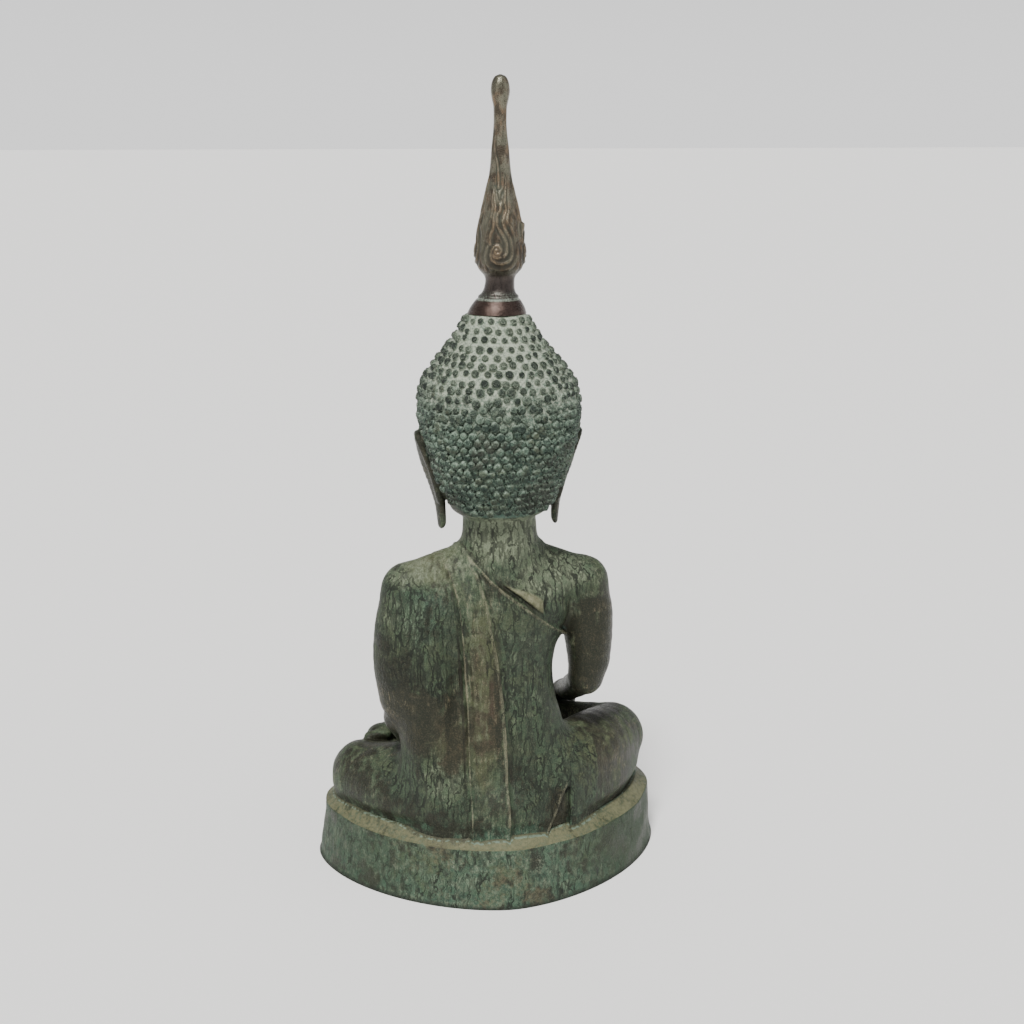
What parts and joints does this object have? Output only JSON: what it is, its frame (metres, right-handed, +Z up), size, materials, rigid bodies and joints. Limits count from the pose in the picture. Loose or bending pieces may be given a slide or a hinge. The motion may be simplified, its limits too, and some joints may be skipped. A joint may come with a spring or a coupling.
{
  "type": "seated buddha statue",
  "caption": "Patinated bronze figure seated cross-legged on a low plinth, right hand over the shin, left hand in the lap, rows of small curls and a tall flame on the crown.",
  "frame": {"origin": "middle of the bounding box, on the flat underside of the plinth", "axes": "+Z up; the figure faces -Y; +X is the figure's left side"},
  "size_m": [0.32, 0.22, 0.7],
  "materials": {
    "patinated_bronze": "green and brown patina, matt to satin",
    "brown_bronze": "dark brown, satin"
  },
  "bodies": {
    "root": {"seated_figure_on_plinth": "patinated_bronze", "crown_flame": "brown_bronze"}
  },
  "joints": []
}
